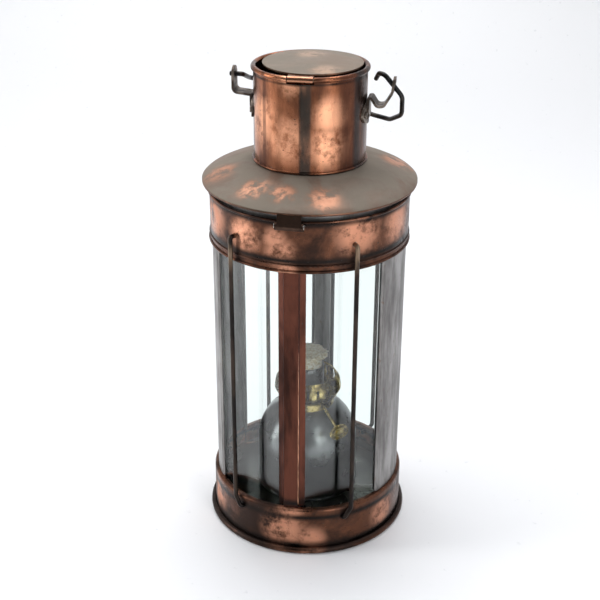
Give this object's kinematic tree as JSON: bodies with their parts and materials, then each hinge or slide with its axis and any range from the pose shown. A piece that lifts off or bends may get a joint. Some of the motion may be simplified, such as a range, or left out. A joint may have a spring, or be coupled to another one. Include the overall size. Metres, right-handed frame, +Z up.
{
  "type": "ship lantern",
  "caption": "Round copper ship lantern with a hexagonal glass cage, guard rods, hinged roof with chimney and lid, wire bail and an oil lamp inside.",
  "frame": {"origin": "on the lantern's axis, at the level it stands on", "axes": "+Z up along the axis, roof hinge and front stanchion at -Y, bail ears at -X and +X"},
  "size_m": [0.1122, 0.1162, 0.2612],
  "materials": {
    "copper": "aged copper, dark brown patina with bright worn streaks",
    "side_sheet": "grey, mottled tinned copper",
    "tinned_sheet": "dull tinned sheet",
    "glass": "clear, slightly green at its edges",
    "iron_wire": "blackened iron wire",
    "strap_iron": "dull brown-grey strap",
    "tin_font": "grey tin, satin",
    "brass": "tarnished olive brass",
    "cotton": "frayed cotton"
  },
  "bodies": {
    "lantern": {"base_pan": "copper", "base_wire": "iron_wire", "pan_floor": "tinned_sheet", "side_plate_left": "side_sheet", "side_plate_right": "side_sheet", "stanchion_front": "copper", "stanchion_back": "copper", "keeper_front": "tinned_sheet", "keeper_back": "tinned_sheet", "pane_front_left": "glass", "pane_front_right": "glass", "pane_back_left": "glass", "pane_back_right": "glass", "upper_band": "copper", "guard_rod_front_left": "iron_wire", "guard_rod_front_right": "iron_wire", "guard_rod_back_left": "iron_wire", "guard_rod_back_right": "iron_wire", "hinge_bracket": "copper", "hinge_pin": "iron_wire"},
    "roof": {"roof_dome": "copper", "roof_collar": "tinned_sheet", "roof_leaf": "copper", "lift_tab": "copper", "chimney": "copper", "lid_pin": "iron_wire", "lid_rest_lugs": "copper", "ear_left": "strap_iron", "ear_right": "strap_iron", "ear_rivets": "strap_iron"},
    "lid": {"lid_disc": "copper", "lid_tab": "copper"},
    "bail": {"bail": "iron_wire"},
    "lamp": {"lamp_font": "tin_font", "font_collar": "brass", "burner": "brass", "wick_tube": "tin_font"},
    "wick": {"wick": "cotton"},
    "wheel": {"wick_wheel": "brass", "wick_spindle": "brass"}
  },
  "joints": [
    {"name": "roof_hinge", "type": "hinge", "parent": "lantern", "child": "roof", "pos_m": [0, -0.056, 0.1933], "axis": [1, 0, 0], "range_deg": [0, 110]},
    {"name": "lid_hinge", "type": "hinge", "parent": "roof", "child": "lid", "pos_m": [0, -0.0282, 0.258], "axis": [1, 0, 0], "range_deg": [0, 110]},
    {"name": "bail_pivot", "type": "hinge", "parent": "roof", "child": "bail", "pos_m": [-0.0381, 0, 0.252], "axis": [0.9998, 0, -0.0201], "range_deg": [0, 120]},
    {"name": "lamp_lift", "type": "slide", "parent": "lantern", "child": "lamp", "axis": [0, 0, 1], "range_m": [0, 0.09]},
    {"name": "wheel_turn", "type": "hinge", "parent": "lamp", "child": "wheel", "pos_m": [0.0219, -0.02982, 0.066], "axis": [0.5661, -0.7707, -0.2924], "range_deg": [-60, 120]},
    {"name": "wick_rise", "type": "slide", "parent": "lamp", "child": "wick", "axis": [0, 0, 1], "range_m": [-0.0028, 0.0056]}
  ],
  "couplings": [
    {"joint": "wheel_turn", "follows": "wick_rise", "rad_per_m": 357.14}
  ]
}
